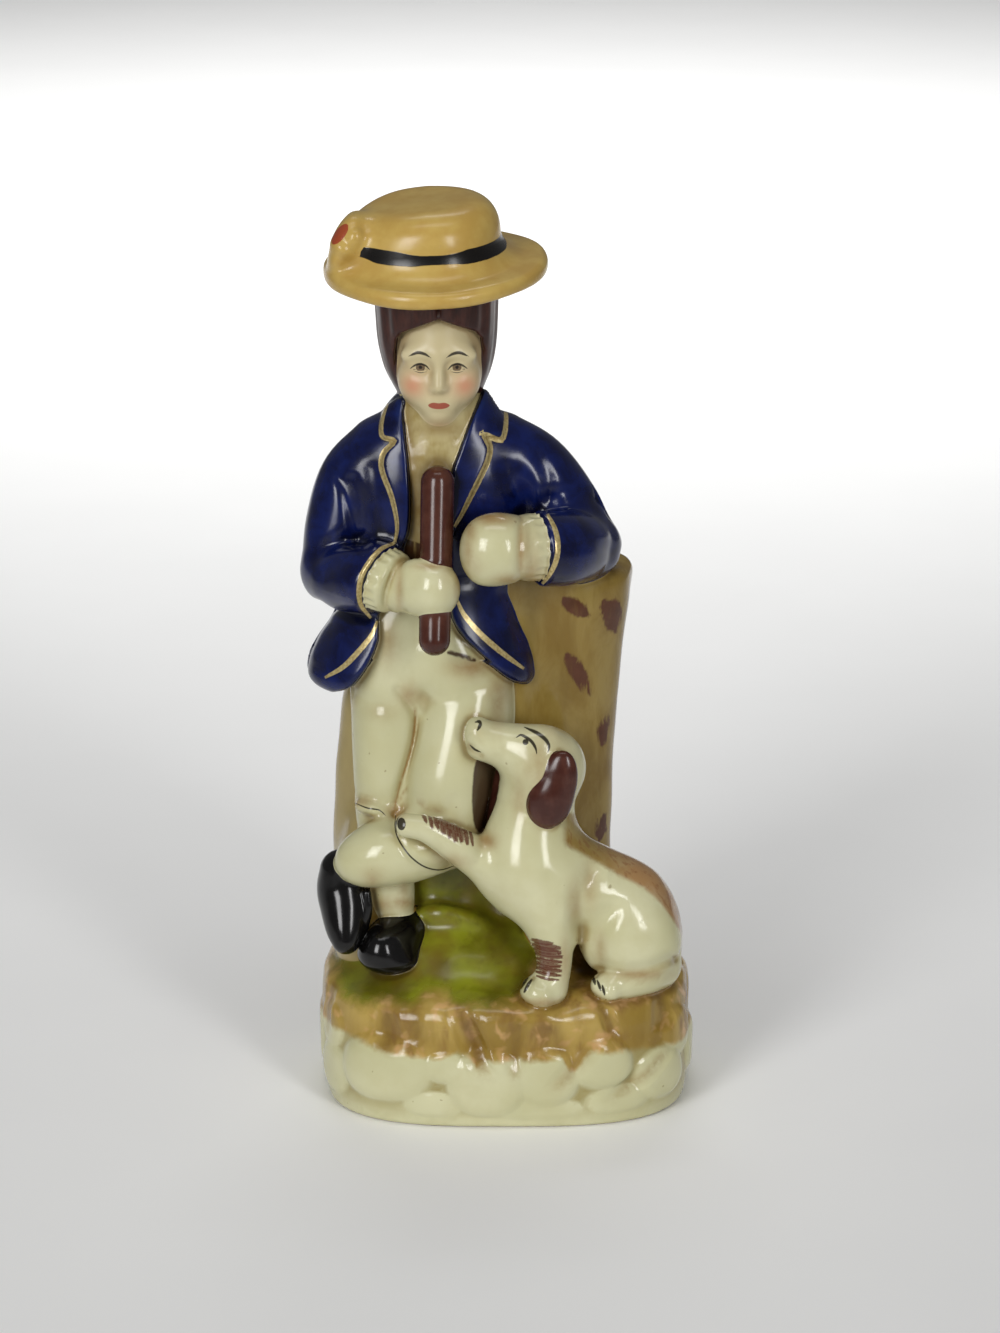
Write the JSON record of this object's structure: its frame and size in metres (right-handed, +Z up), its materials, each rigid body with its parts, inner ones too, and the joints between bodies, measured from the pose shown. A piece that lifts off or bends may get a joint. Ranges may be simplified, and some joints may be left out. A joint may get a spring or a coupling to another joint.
{
  "type": "earthenware figure of a youth with a dog",
  "caption": "Glazed earthenware mantel figure: a youth in a straw hat and jacket leans on a tree stump, holding a short staff, with a sitting dog, on an oval rocky base.",
  "frame": {"origin": "middle of the flat underside of the oval base", "axes": "+Z up through the figure, -Y towards the front that faces the viewer, +X to the viewer's right, where the dog sits"},
  "size_m": [0.0921, 0.0672, 0.2158],
  "materials": {
    "painted_earthenware": "glossy lead-type glaze over painted earthenware: ivory body, cobalt jacket with gilt lines, ochre hat and stump, aubergine hair and ears, black shoes, sponged green and tan ground"
  },
  "bodies": {
    "root": {"figure_with_dog": "painted_earthenware"}
  },
  "joints": []
}
